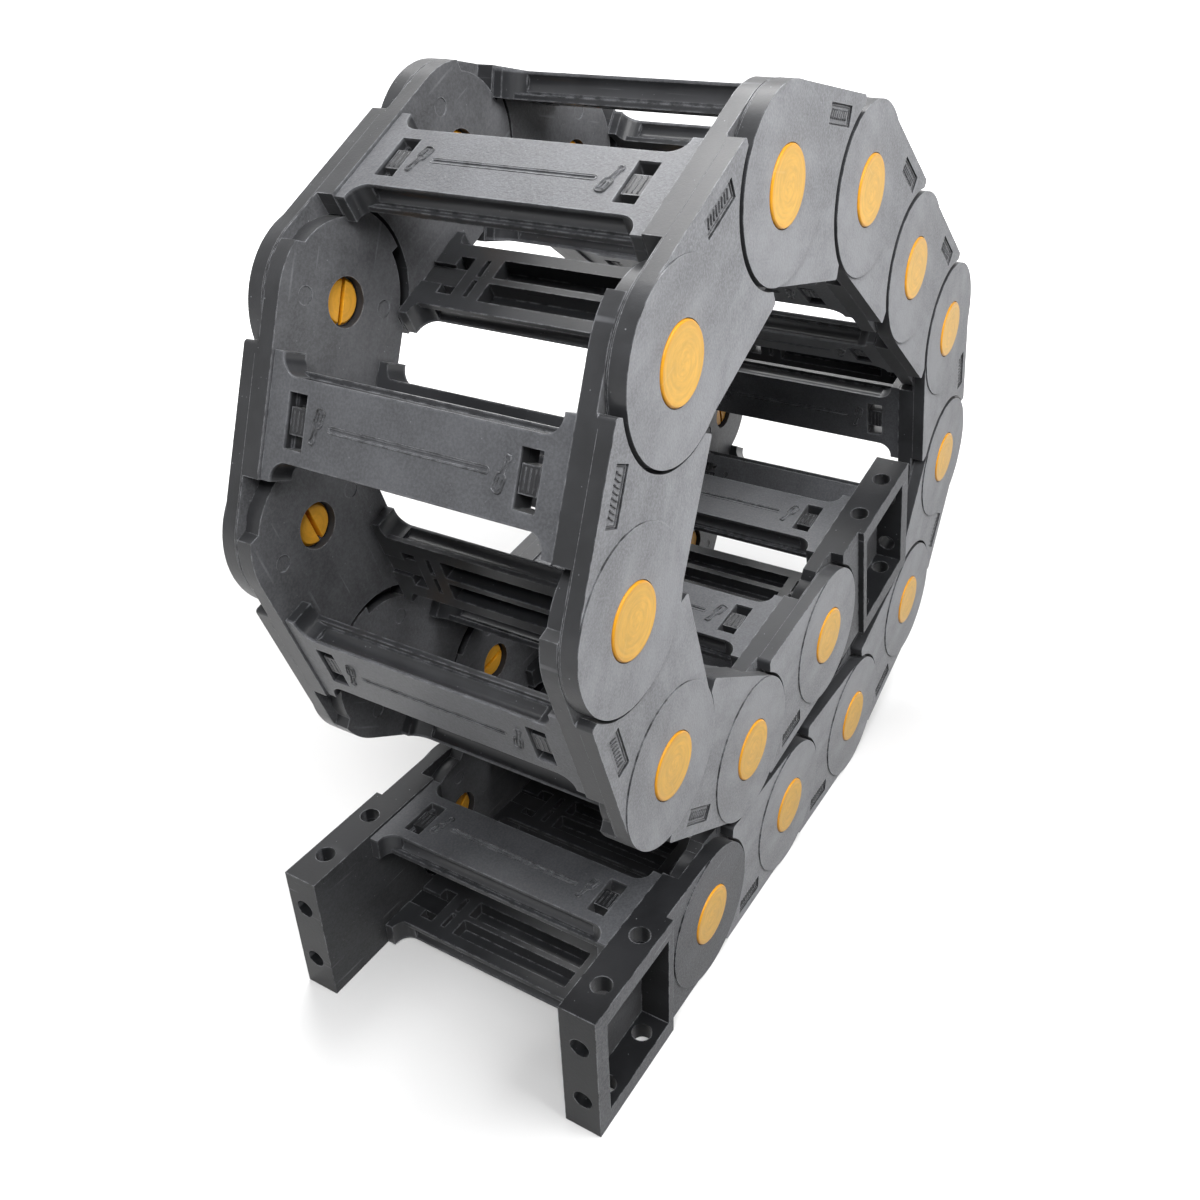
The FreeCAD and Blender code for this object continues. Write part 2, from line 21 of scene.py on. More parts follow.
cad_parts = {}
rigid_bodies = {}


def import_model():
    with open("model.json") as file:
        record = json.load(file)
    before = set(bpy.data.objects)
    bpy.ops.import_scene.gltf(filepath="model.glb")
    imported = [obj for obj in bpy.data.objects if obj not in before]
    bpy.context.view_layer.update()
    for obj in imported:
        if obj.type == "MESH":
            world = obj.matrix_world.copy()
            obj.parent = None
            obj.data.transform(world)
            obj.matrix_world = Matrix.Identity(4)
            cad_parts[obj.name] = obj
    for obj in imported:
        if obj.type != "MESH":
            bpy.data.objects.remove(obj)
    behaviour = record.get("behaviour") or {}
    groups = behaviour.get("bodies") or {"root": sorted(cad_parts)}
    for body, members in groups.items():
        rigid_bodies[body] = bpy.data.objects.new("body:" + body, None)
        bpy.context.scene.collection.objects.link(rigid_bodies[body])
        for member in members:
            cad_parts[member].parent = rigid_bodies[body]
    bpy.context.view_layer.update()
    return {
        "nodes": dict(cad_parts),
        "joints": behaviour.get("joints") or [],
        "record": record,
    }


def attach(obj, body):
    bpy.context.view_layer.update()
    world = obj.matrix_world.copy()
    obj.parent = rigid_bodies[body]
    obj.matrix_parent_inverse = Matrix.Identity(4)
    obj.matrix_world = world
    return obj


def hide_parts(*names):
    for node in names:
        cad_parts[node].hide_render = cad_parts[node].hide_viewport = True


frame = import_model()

log = logging.getLogger("drag_chain")
Triple = tuple[float, float, float]

MM = 0.001
MARK_ACROSS = 31.2 * MM         # tool marks, from the chain's middle
LATCH_ACROSS = 38.9 * MM        # middle of a latch in its window, from the chain's middle
LATCH_SINK = 0.9 * MM           # the latch lies this far below its crossbar's face
RECESS_FROM_EDGE = 6.9 * MM     # middle of the plate's shallow recess, from the plate's edge
RECESS_DEPTH = 0.8 * MM         # how deep that recess is
OUTSIDE_FROM = (56.0 * MM, 58.0 * MM)   # past these, across, a plate's broad side is an outer one
FACE_FROM = (25.0 * MM, 25.8 * MM)      # past these, up or down, a crossbar's side is its outer face
EAR_BOSS = 0.6 * MM             # the round ear stands this proud of its plate
FOOT_SINK = 0.03 * MM           # the feet of a raised line lie this far below its face
SAME_POINT = 0.001 * MM         # points of a grid that are closer than this become one
ALONG, ACROSS, UP = np.eye(3)   # a section's own directions


class Side(Enum):
    """Which side of the chain a plate is on, as its sign along Y."""

    LEFT = 1
    RIGHT = -1


class Texture(Enum):
    """Where a moulded piece has the rough texture of its mould."""

    SIDES = "sides"
    OUTER_FACE = "outer face"
    ALL_OVER = "all over"
    ROUND_HEAD = "sides, round a hinge"


@dataclass(frozen=True)
class Plastic:
    """Finish of a moulded plastic. Strengths go from 0 to 1.

    Attributes:
        name: Name of the material.
        texture: Where the mould's rough texture is.
        colour: Base colour where the mould is smooth.
        textured: Base colour where the mould is rough. On the side plates and crossbars it is
        paler than the plastic, partly as painted light.
        pale: Colour that rubbed and dusty places go to, and the painted highlight along the edges.
        roughness: Roughness where the mould is smooth.
        textured_roughness: Roughness where the mould is rough.
        sheen: Weight of the dusty sheen at grazing angles.
        gloss: Specular level of the shader.
        grain: Height of the mould's rough texture.
        mottle: How much the colour wanders over the surface.
        rub: How pale the edges get, partly as rubbed wear and partly as a painted highlight.
        rub_and_highlight_width: Width of those rubbed and highlighted edges.
        scratch: How strongly fine handling scratches show.
        speckle: How pale the fine grains get.
        dust: How pale the specks of dust are.
    """

    name: str
    texture: Texture
    colour: Triple
    textured: Triple
    pale: Triple
    roughness: float
    textured_roughness: float
    sheen: float
    gloss: float
    grain: float
    mottle: float
    rub: float
    rub_and_highlight_width: float
    scratch: float
    speckle: float
    dust: float


PLATE_PLASTIC = Plastic(
    name="side_plate_plastic",
    texture=Texture.SIDES,
    colour=(0.0325, 0.0333, 0.0362),
    # The rough sides' pale grey is partly the mould's own and partly a painted sheen, standing for the
    # bright floor that the broad sides reflect.
    textured=(0.240, 0.243, 0.256),
    pale=(0.41, 0.42, 0.447),
    roughness=0.36,
    textured_roughness=0.72,
    sheen=0.2,
    gloss=0.30,
    grain=0.00011,
    mottle=0.6,
    rub=0.6,
    rub_and_highlight_width=0.0007,
    scratch=0.6,
    speckle=0.34,
    dust=0.55,
)
CROSSBAR_PLASTIC = Plastic(
    name="crossbar_plastic",
    texture=Texture.OUTER_FACE,
    colour=(0.032, 0.0330, 0.0362),
    # The outer face is paler than the sides: partly the mould's own grey, partly painted light, with
    # the sides and coves kept dark as painted shade.
    textured=(0.093, 0.0955, 0.1035),
    pale=(0.292, 0.30, 0.32),
    roughness=0.34,
    textured_roughness=0.40,
    sheen=0.2,
    gloss=0.3,
    grain=0.00006,
    mottle=0.4,
    rub=0.6,
    rub_and_highlight_width=0.0011,
    scratch=0.45,
    speckle=0.15,
    dust=0.5,
)
PIN_PLASTIC = Plastic(
    name="pin_plastic",
    texture=Texture.ROUND_HEAD,
    colour=(0.74, 0.325, 0.012),
    textured=(0.78, 0.45, 0.085),
    pale=(0.88, 0.65, 0.27),
    roughness=0.38,
    textured_roughness=0.50,
    sheen=0.0,
    gloss=0.3,
    grain=0.00002,
    mottle=0.35,
    rub=0.25,
    rub_and_highlight_width=0.0005,
    scratch=0.45,
    speckle=0.06,
    dust=0.12,
)
# Painted shade: the brackets' plates are darker than the links', for the weaker light low down near the
# floor.
BRACKET_PAINTED_SHADE_PLASTIC = replace(
    PLATE_PLASTIC,
    name="bracket_plastic",
    colour=(0.015, 0.0155, 0.0172),
    textured=(0.080, 0.082, 0.088),
    gloss=0.18,
    speckle=0.15,
)
# Painted shade: the brackets' crossbars are darker than the links', for the shade they lie in under the
# coil.
BRACKET_CROSSBAR_PAINTED_SHADE_PLASTIC = replace(
    CROSSBAR_PLASTIC,
    name="bracket_crossbar_plastic",
    textured=(0.064, 0.066, 0.072),
    speckle=0.10,
)
FLASH_PLASTIC = replace(
    PLATE_PLASTIC,
    name="flash_plastic",
    texture=Texture.ALL_OVER,
    textured=(0.062, 0.063, 0.067),
    textured_roughness=0.5,
    rub=0.15,
    dust=0.2,
)
# Painted shade: the tool marks and groove rims are darker than their crossbars so that they read as the
# shadow round their relief.
MARK_PAINTED_SHADE_PLASTIC = replace(
    CROSSBAR_PLASTIC,
    name="mark_plastic",
    texture=Texture.ALL_OVER,
    textured=(0.020, 0.0204, 0.022),
    speckle=0.1,
)


@dataclass(frozen=True)
class Section:
    """One section of the chain and its own frame at rest.

    Attributes:
        name: The section's body in the frame.
        place: Its near hinge in the XZ plane.
        heading: Its direction along the chain, in radians up from +X.
    """

    name: str
    place: tuple[float, float]
    heading: float

    def to_world(self, local: np.ndarray) -> np.ndarray:
        """Points given along, across and up the section, in the part's frame.

        Args:
            local: Array of shape (..., 3).

        Returns:
            Array of the same shape.
        """
        c, s = math.cos(self.heading), math.sin(self.heading)
        along, across, up = local[..., 0], local[..., 1], local[..., 2]
        return np.stack(
            [self.place[0] + along * c - up * s, across, self.place[1] + along * s + up * c], axis=-1
        )

    def to_local(self, world: np.ndarray) -> np.ndarray:
        """The reverse of to_world.

        Args:
            world: Array of shape (..., 3).

        Returns:
            Array of the same shape.
        """
        c, s = math.cos(self.heading), math.sin(self.heading)
        dx, dz = world[..., 0] - self.place[0], world[..., 2] - self.place[1]
        return np.stack([dx * c + dz * s, world[..., 1], -dx * s + dz * c], axis=-1)


def read_sections() -> list[Section]:
    """Sections of the chain from the frame's hinges, from the fixed bracket to the moving one.

    Returns:
        One Section for each body, in order. A link's heading is the line between its hinges. The
        moving bracket's is the way its end holes face.
    """
    hinges = frame["joints"]
    places = [(joint["pos_m"][0], joint["pos_m"][2]) for joint in hinges]
    pitch = math.dist(places[0], places[1])
    sections = [Section(hinges[0]["parent"], (places[0][0] - pitch, places[0][1]), 0.0)]
    for joint, here, there in zip(hinges, places, places[1:]):
        heading = math.atan2(there[1] - here[1], there[0] - here[0])
        sections.append(Section(joint["child"], here, heading))
    mounts = {mount["name"]: mount for mount in frame["record"]["mounts"]}
    way = mounts["moving_bracket_end_outer_holes"]["axis"]
    sections.append(Section(hinges[-1]["child"], places[-1], math.atan2(way[2], way[0])))
    return sections


# Noise scales of the surface effects, in cells per metre.
PEBBLE, COARSE, GRAINS = 1700.0, 800.0, 1250.0      # the rough mould's bumps, and its pale grains
PATCH, CLOUD = 75.0, 22.0                           # small and wide clouds of tone
SMEAR = (26.0, 26.0, 130.0)                         # tone drawn out along the section
SCRATCH_GAPS, RUB_AND_HIGHLIGHT_GAPS = 60.0, 260.0                # where scratches, and rubbed edges with their painted highlight, are broken off
# Two sets of scratches, each a turn, a scale in three directions and a second turn.
SCRATCHES = ((0.5, (14.0, 14.0, 900.0), 1.7), (-0.9, (20.0, 20.0, 700.0), 5.1))
# Two sizes of dust specks, each its scale, its reach in a cell and the share of empty cells.
SPECKS = ((300.0, 0.085, 0.78), (620.0, 0.11, 0.86))


class Nodes:
    """Short calls for the nodes of one tree."""

    def __init__(self, tree: NodeTree) -> None:
        """Keeps the tree that the nodes go in."""
        self.tree = tree

    def fill(self, node: Node, **sockets: object) -> None:
        """Fills a node's inputs.

        Args:
            node: The node.
            sockets: Input name, with spaces as underscores, to a value or a socket to link. An
                input that is known only by its number is written as i0, i1 and so on.
        """
        for key, value in sockets.items():
            numbered = key[0] == "i" and key[1:].isdigit()
            target = node.inputs[int(key[1:]) if numbered else key.replace("_", " ")]
            if isinstance(value, NodeSocket):
                self.tree.links.new(value, target)
            else:
                target.default_value = value

    def add(self, kind: str, settings: Optional[dict] = None, **sockets: object) -> Node:
        """Adds a node.

        Args:
            kind: Node type without its ShaderNode prefix.
            settings: Attributes of the node.
            sockets: Its inputs, as fill takes them.

        Returns:
            The node.
        """
        node = self.tree.nodes.new("ShaderNode" + kind)
        for key, value in (settings or {}).items():
            setattr(node, key, value)
        self.fill(node, **sockets)
        return node

    def math(self, operation: str, *values: object) -> NodeSocket:
        """The result of a Math node with that operation, on one to three numbers or sockets."""
        inputs = {"i%d" % i: value for i, value in enumerate(values)}
        return self.add("Math", {"operation": operation}, **inputs).outputs[0]

    def ramp(self, value: NodeSocket, low: float, high: float) -> NodeSocket:
        """A smooth step from 0 at low to 1 at high."""
        node = self.add("MapRange", {"interpolation_type": "SMOOTHSTEP"},
                        Value=value, From_Min=low, From_Max=high)
        return node.outputs["Result"]

    def noise(self, place: NodeSocket, scale: float, detail: float,
              roughness: float = 0.5) -> NodeSocket:
        """The value of a noise texture."""
        node = self.add("TexNoise", Vector=place, Scale=scale, Detail=detail, Roughness=roughness)
        return node.outputs["Fac"]

    def blend(self, fac: object, first: object, second: object) -> NodeSocket:
        """A mix of two colours."""
        node = self.add("Mix", {"data_type": "RGBA"}, i0=fac, i6=first, i7=second)
        return node.outputs[2]

    def group(self, tree: NodeTree, **sockets: object) -> Node:
        """A node that runs a shader group on these inputs."""
        return self.add("Group", {"node_tree": tree}, **sockets)


class ShaderGroup(Nodes):
    """The nodes of one surface effect, whose first input is the place in the section."""

    def __init__(self, name: str) -> None:
        """Starts a group with the input Place.

        Args:
            name: The group's name.
        """
        super().__init__(bpy.data.node_groups.new(name, "ShaderNodeTree"))
        self.start = self.tree.nodes.new("NodeGroupInput")
        self.end = self.tree.nodes.new("NodeGroupOutput")
        self.adds("Place", "INPUT", "Vector")

    def adds(self, name: str, way: str, kind: str) -> NodeTreeInterfaceSocket:
        """Adds an input or output of that kind, Float or Vector."""
        return self.tree.interface.new_socket(name, in_out=way, socket_type="NodeSocket" + kind)

    @property
    def place(self) -> NodeSocket:
        """The place in the section, inside the group."""
        return self.start.outputs["Place"]

    def takes(self, name: str, value: float) -> NodeSocket:
        """Adds a number as an input with its default, and gives it as it is inside the group."""
        self.adds(name, "INPUT", "Float").default_value = value
        return self.start.outputs[name]

    def gives(self, name: str, source: NodeSocket) -> None:
        """Adds a number as an output and links it."""
        self.adds(name, "OUTPUT", "Float")
        self.tree.links.new(source, self.end.inputs[name])


def mould_texture_group() -> NodeTree:
    """Surface of a rough mould: a fine pebble height, slow clouds of tone and pale grains.

    Returns:
        The node group, with outputs Height, Tone and Speckle.
    """
    group = ShaderGroup("mould_texture")
    place = group.place
    pebble = group.noise(place, PEBBLE, 2.0, 0.6)
    coarse = group.noise(place, COARSE, 2.0, 0.5)
    height = group.math("MULTIPLY_ADD", coarse, 0.9, pebble)
    cloud = group.noise(place, CLOUD, 4.0, 0.62)
    patch = group.noise(place, PATCH, 3.0, 0.55)
    smeared = group.add("Mapping", Vector=place, Rotation=(0.0, 0.5, 0.0), Scale=SMEAR)
    smear = group.noise(smeared.outputs[0], 1.0, 3.0, 0.6)
    tone = group.math("MULTIPLY_ADD", patch, 0.35, group.math("MULTIPLY", cloud, 0.55))
    tone = group.math("MULTIPLY_ADD", smear, 0.35, tone)
    speckle = group.noise(place, GRAINS, 3.0, 0.7)
    group.gives("Height", height)
    group.gives("Tone", group.ramp(tone, 0.48, 0.78))
    group.gives("Speckle", group.ramp(speckle, 0.36, 0.66))
    return group.tree


def textured_side_group() -> NodeTree:
    """Where the mould is rough: the broad sides, square to the chain's width.

    The sides that face the cables are smoother, and get a third of the effect.

    Returns:
        The node group, with output Mask, from the surface's direction and place.
    """
    group = ShaderGroup("textured_side")
    direction = group.add("SeparateXYZ", Vector=group.add("TexCoord").outputs["Normal"])
    broad = group.ramp(group.math("ABSOLUTE", direction.outputs["Y"]), 0.90, 0.99)
    place = group.add("SeparateXYZ", Vector=group.place)
    outside = group.ramp(group.math("ABSOLUTE", place.outputs["Y"]), *OUTSIDE_FROM)
    share = group.math("MULTIPLY_ADD", outside, 0.7, 0.3)
    group.gives("Mask", group.math("MULTIPLY", broad, share))
    return group.tree


def outer_face_group() -> NodeTree:
    """Where a crossbar's outer face is, by its place up or down the section.

    Returns:
        The node group, with output Mask.
    """
    group = ShaderGroup("outer_face")
    place = group.add("SeparateXYZ", Vector=group.place)
    height = group.math("ABSOLUTE", place.outputs["Z"])
    group.gives("Mask", group.ramp(height, *FACE_FROM))
    return group.tree


def scratches_group() -> NodeTree:
    """Fine handling scratches in two crossing directions, broken up by a slow noise.

    Returns:
        The node group, with output Mask.
    """
    group = ShaderGroup("scratches")
    place = group.place
    lines = []
    for turn, stretch, spin in SCRATCHES:
        mapped = group.add("Mapping", Vector=place, Rotation=(0.2, turn, spin), Scale=stretch)
        streak = group.noise(mapped.outputs[0], 1.0, 1.0, 0.4)
        lines.append(group.ramp(streak, 0.70, 0.78))
    both = group.math("MAXIMUM", lines[0], lines[1])
    broken = group.ramp(group.noise(place, SCRATCH_GAPS, 2.0), 0.48, 0.62)
    group.gives("Mask", group.math("MULTIPLY", both, broken))
    return group.tree


def edge_rub_and_highlight_group() -> NodeTree:
    """Where a piece's edges are rubbed and carry a painted highlight: its rounded normal against its
    flat one, broken by noise.

    Returns:
        The node group, with output Mask.
    """
    group = ShaderGroup("edge_rub")
    rounded = group.add("Bevel", {"samples": 6}, Radius=group.takes("Width", 0.0006)).outputs[0]
    flat = group.add("NewGeometry").outputs["Normal"]
    match = group.add("VectorMath", {"operation": "DOT_PRODUCT"}, i0=rounded, i1=flat)
    edge = group.ramp(group.math("SUBTRACT", 1.0, match.outputs["Value"]), 0.01, 0.16)
    broken = group.ramp(group.noise(group.place, RUB_AND_HIGHLIGHT_GAPS, 3.0, 0.6), 0.36, 0.62)
    group.gives("Mask", group.math("MULTIPLY", edge, broken))
    return group.tree


def dust_group() -> NodeTree:
    """Sparse pale specks, each in a random cell and of a random size.

    Returns:
        The node group, with output Mask.
    """
    group = ShaderGroup("dust")
    masks = []
    for scale, reach, share in SPECKS:
        cells = group.add("TexVoronoi", {"feature": "F1"}, Vector=group.place, Scale=scale)
        chance = group.add("SeparateColor", Color=cells.outputs["Color"])
        near = group.math("SUBTRACT", 1.0, group.ramp(cells.outputs["Distance"], reach * 0.4, reach))
        masks.append(group.math("MULTIPLY", near, group.math("GREATER_THAN", chance.outputs[0], share)))
    group.gives("Mask", group.math("MAXIMUM", masks[0], masks[1]))
    return group.tree


def round_head_group() -> NodeTree:
    """Face of a round head: rings and swirls left by the flow of plastic, and its rim.

    The pattern is a noise over radius and turn about the piece's own axis, along Y.

    Returns:
        The node group, with outputs Swirl and Rim.
    """
    group = ShaderGroup("round_head")
    split = group.add("SeparateXYZ", Vector=group.place)
    square = group.math("MULTIPLY", split.outputs["X"], split.outputs["X"])
    square = group.math("MULTIPLY_ADD", split.outputs["Z"], split.outputs["Z"], square)
    radius = group.math("SQRT", square)
    share = group.math("DIVIDE", radius, group.takes("Radius", 0.0112))
    turn = group.math("ARCTAN2", split.outputs["Z"], split.outputs["X"])
    wound = group.math("MULTIPLY_ADD", share, 2.5, turn)
    polar = group.add("CombineXYZ", X=group.math("MULTIPLY", share, 9.0),
                      Y=group.math("COSINE", wound), Z=group.math("SINE", wound))
    group.gives("Swirl", group.noise(polar.outputs[0], 1.1, 3.0, 0.6))
    group.gives("Rim", group.ramp(share, 0.78, 0.99))
    return group.tree


class Workshop:
    """Makes the chain's materials from its finishes, with the shared shader groups."""

    def __init__(self) -> None:
        """Builds the shader groups once."""
        self.mould_texture = mould_texture_group()
        self.scratches = scratches_group()
        self.edge_rub = edge_rub_and_highlight_group()
        self.dust = dust_group()
        self.textured_side = textured_side_group()
        self.outer_face = outer_face_group()
        self.round_head = round_head_group()

    def plastic(self, finish: Plastic) -> Material:
        """A moulded plastic with mould texture, clouds of tone, scratches, and rubbed edges that
        also carry a painted highlight.

        Args:
            finish: Colours and strengths.

        Returns:
            The material.
        """
        material = bpy.data.materials.new(finish.name)
        material.use_nodes = True
        tree = material.node_tree
        nodes = Nodes(tree)
        place = nodes.add("Attribute", {"attribute_name": "section_place"}).outputs["Vector"]
        texture = nodes.group(self.mould_texture, Place=place)
        scratch = nodes.group(self.scratches, Place=place).outputs["Mask"]
        rub = nodes.group(self.edge_rub, Place=place, Width=finish.rub_and_highlight_width).outputs["Mask"]
        dust = nodes.group(self.dust, Place=place).outputs["Mask"]
        tone = texture.outputs["Tone"]
        # Edges go pale as wear and as a painted highlight; scratches and dust add real pale marks.
        wear_dust_and_highlight = nodes.math("MULTIPLY", rub, finish.rub)
        wear_dust_and_highlight = nodes.math("MAXIMUM", wear_dust_and_highlight, nodes.math("MULTIPLY", scratch, finish.scratch * 0.35))
        wear_dust_and_highlight = nodes.math("MAXIMUM", wear_dust_and_highlight, nodes.math("MULTIPLY", dust, finish.dust))
        rough_side = 1.0
        if finish.texture is Texture.OUTER_FACE:
            rough_side = nodes.group(self.outer_face, Place=place).outputs["Mask"]
        elif finish.texture is not Texture.ALL_OVER:
            rough_side = nodes.group(self.textured_side, Place=place).outputs["Mask"]
        if finish.texture is Texture.ROUND_HEAD:
            head = nodes.group(self.round_head, Place=place)
            tone = nodes.ramp(nodes.math("MULTIPLY_ADD", tone, 0.45, head.outputs["Swirl"]), 0.25, 1.15)
            centre = nodes.math("MULTIPLY_ADD", head.outputs["Rim"], -0.45, 1.0)
            rough_side = nodes.math("MULTIPLY", rough_side, centre)
        colours = []
        lighter, darker = 1.0 + 0.55 * finish.mottle, 1.0 - 0.4 * finish.mottle
        for base in (finish.colour, finish.textured):
            light = tuple(min(1.0, part * lighter) for part in base)
            dark = tuple(part * darker for part in base)
            colours.append(nodes.blend(tone, dark + (1.0,), light + (1.0,)))
        colour = nodes.blend(rough_side, colours[0], colours[1])
        grained = nodes.math("MULTIPLY", texture.outputs["Speckle"], finish.speckle)
        grained = nodes.math("MULTIPLY", grained, rough_side)
        colour = nodes.blend(grained, colour, finish.pale + (1.0,))
        colour = nodes.blend(wear_dust_and_highlight, colour, finish.pale + (1.0,))
        rough = nodes.math("MULTIPLY_ADD", rough_side, finish.textured_roughness - finish.roughness,
                           finish.roughness - 0.06)
        rough = nodes.math("MULTIPLY_ADD", tone, 0.2 * finish.mottle, rough)
        rough = nodes.math("MULTIPLY_ADD", scratch, -0.10 * finish.scratch, rough)
        height = nodes.math("MULTIPLY_ADD", rough_side, 0.75, 0.25)
        height = nodes.math("MULTIPLY", texture.outputs["Height"], height)
        bump = nodes.add("Bump", Height=height, Distance=finish.grain, Strength=1.0)
        nodes.fill(tree.nodes["Principled BSDF"], Base_Color=colour, Roughness=rough,
                   Normal=bump.outputs[0], IOR=1.5, Specular_IOR_Level=finish.gloss,
                   Sheen_Weight=finish.sheen, Sheen_Roughness=0.38)
        return material


def new_object(name: str, data: object) -> Object:
    """An object put into the scene.

    Args:
        name: Its name.
        data: Its mesh, lamp or camera.

    Returns:
        The object.
    """
    made = bpy.data.objects.new(name, data)
    bpy.context.scene.collection.objects.link(made)
    return made


@dataclass
class MouldedPart:
    """A moulded piece of the chain, made from its CAD node with its edges rounded.

    Attributes:
        node: The CAD node it stands for.
        section: The section it belongs to.
        material: Its material.
        centred: Whether its material follows its own middle, as on a round head.
        edge_round: Radius of its rounded edges.
        edge_steps: Segments of a rounded edge.
        sharp: Angle from which an edge counts as sharp and is rounded, in degrees.
        flat: Angle up to which two faces are joined into one, in degrees.
        merge: Distance up to which two corners become one.
    """

    node: str
    section: Section
    material: Material
    centred: bool = False
    edge_round: float = 0.00035
    edge_steps: int = 2
    sharp: float = 32.0
    flat: float = 0.4
    merge: float = 0.002 * MM

    def build(self) -> Object:
        """Copies the node's mesh, merges it, joins its flat faces and rounds its edges.

        Returns:
            The piece, riding on the section's body in place of the node.
        """
        shape = bmesh.new()
        shape.from_mesh(frame["nodes"][self.node].data)
        bmesh.ops.remove_doubles(shape, verts=shape.verts, dist=self.merge)
        bmesh.ops.dissolve_limit(shape, angle_limit=math.radians(self.flat), verts=shape.verts,
                                 edges=shape.edges)
        limit = math.radians(self.sharp)
        for face in shape.faces:
            face.smooth = True
        for edge in shape.edges:
            edge.smooth = edge.calc_face_angle(0.0) < limit
        mesh = bpy.data.meshes.new(self.node + "_moulded")
        shape.to_mesh(mesh)
        shape.free()
        write_section_place(mesh, self.section, self.centred)
        piece = new_object(mesh.name, mesh)
        piece.data.materials.append(self.material)
        bevel = piece.modifiers.new("rounded_edges", "BEVEL")
        bevel.width = self.edge_round
        bevel.segments = self.edge_steps
        bevel.limit_method = "ANGLE"
        bevel.angle_limit = limit
        bevel.harden_normals = True
        bevel.use_clamp_overlap = True
        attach(piece, self.section.name)
        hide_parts(self.node)
        return piece


def section_points(mesh: Mesh, section: Section) -> np.ndarray:
    """Vertices of a mesh in a section's own frame.

    Args:
        mesh: Mesh in the part's frame.
        section: The section.

    Returns:
        Array of shape (count, 3).
    """
    points = np.empty(len(mesh.vertices) * 3, np.float32)
    mesh.vertices.foreach_get("co", points)
    return section.to_local(points.reshape(-1, 3).astype(float))


def write_section_place(mesh: Mesh, section: Section, centred: bool = False) -> None:
    """Gives each vertex its place in the section's own frame, for the materials.

    Args:
        mesh: Mesh in the part's frame.
        section: The section that the mesh belongs to.
        centred: Whether the place counts from the mesh's own middle.
    """
    local = section_points(mesh, section)
    if centred:
        local -= (local.min(axis=0) + local.max(axis=0)) / 2
    attribute = mesh.attributes.new("section_place", "FLOAT_VECTOR", "POINT")
    attribute.data.foreach_set("vector", local.astype(np.float32).ravel())


def ridge(path: np.ndarray, across: np.ndarray, out: np.ndarray, width: np.ndarray, height: np.ndarray,
          steps: int = 6) -> np.ndarray:
    """A half-round ridge carried along a path.

    At each point of the path the profile is half an ellipse: it starts half a width to one side,
    rises by the height and comes down half a width to the other side. Its feet lie a little
    below the path.

    Args:
        path: Points of the ridge's middle, shape (count, 3).
        across: Unit vectors across the ridge along the surface, shape (count, 3).
        out: Unit vectors out of the surface, shape (count, 3).
        width: Width at each point, shape (count,).
        height: Height at each point, shape (count,).
        steps: Segments of the half ellipse.

    Returns:
        Grid of shape (count, steps + 1, 3).
    """
    turn = np.linspace(np.pi, 0.0, steps + 1)
    side = np.cos(turn)[None, :, None] * width[:, None, None] / 2
    rise = np.sin(turn)[None, :, None] * height[:, None, None] - FOOT_SINK
    return path[:, None, :] + across[:, None, :] * side + out[:, None, :] * rise


@dataclass(frozen=True)
class Face:
    """A flat face in a section's own frame: a point, two directions on it and the one out of it."""

    place: np.ndarray
    ahead: np.ndarray
    beside: np.ndarray
    out: np.ndarray


@dataclass(frozen=True)
class RaisedLine:
    """A fine raised line of one width and height, laid on a flat face."""

    width: float
    height: float

    def grid(self, face: Face, points: np.ndarray, tangent: np.ndarray) -> np.ndarray:
        """A line with two open ends: a ridge along the points.

        Args:
            face: The face that it lies on.
            points: Its points ahead and beside on the face, shape (count, 2).
            tangent: Its direction at each point, of the same shape.

        Returns:
            Grid from ridge.
        """
        tangent = tangent / np.linalg.norm(tangent, axis=1, keepdims=True)
        normal = np.stack([-tangent[:, 1], tangent[:, 0]], axis=-1)
        path = face.place + points[:, :1] * face.ahead + points[:, 1:] * face.beside
        across = normal[:, :1] * face.ahead + normal[:, 1:] * face.beside
        count = len(points)
        return ridge(path, across, np.tile(face.out, (count, 1)), np.full(count, self.width),
                     np.full(count, self.height))

    def closed(self, face: Face, loop: np.ndarray) -> np.ndarray:
        """A line that closes on itself: the grid's last row is its first."""
        grid = self.grid(face, loop, np.roll(loop, -1, axis=0) - np.roll(loop, 1, axis=0))
        return np.concatenate([grid, grid[:1]])

    def pointed(self, face: Face, line: np.ndarray) -> np.ndarray:
        """A line that is drawn down to a point at each end.

        Args:
            face: The face that it lies on.
            line: Its points, shape (count, 2).

        Returns:
            Grid whose first and last rows are single points under the face.
        """
        grid = self.grid(face, line, np.gradient(line, axis=0))
        ends = [np.tile(row.mean(axis=0) - face.out * self.height, (grid.shape[1], 1))
                for row in (grid[0], grid[-1])]
        return np.concatenate([ends[0][None], grid, ends[1][None]])


def long_ring(length: float, width: float) -> np.ndarray:
    """Closed outline of a long slot: two straight sides joined by half circles.

    Args:
        length: End to end.
        width: Side to side.

    Returns:
        Points of shape (count, 2), along and across.
    """
    radius = width / 2
    turn = np.linspace(-np.pi / 2, np.pi / 2, 9)
    end = np.stack([length / 2 - radius + radius * np.cos(turn), radius * np.sin(turn)], axis=-1)
    return np.concatenate([end, -end])


def rectangle_ring(length: float, width: float) -> np.ndarray:
    """Closed outline of a rectangle: the points of a circle, each moved out to a square round it
    and then stretched to the rectangle.

    Args:
        length: End to end.
        width: Side to side.

    Returns:
        Points of shape (count, 2), along and across.
    """
    turn = np.linspace(0.0, 2 * np.pi, 64, endpoint=False)
    reach = np.maximum(np.abs(np.cos(turn)), np.abs(np.sin(turn)))
    square = np.stack([np.cos(turn), np.sin(turn)], axis=-1) / reach[:, None]
    return square * np.array([length / 2, width / 2])


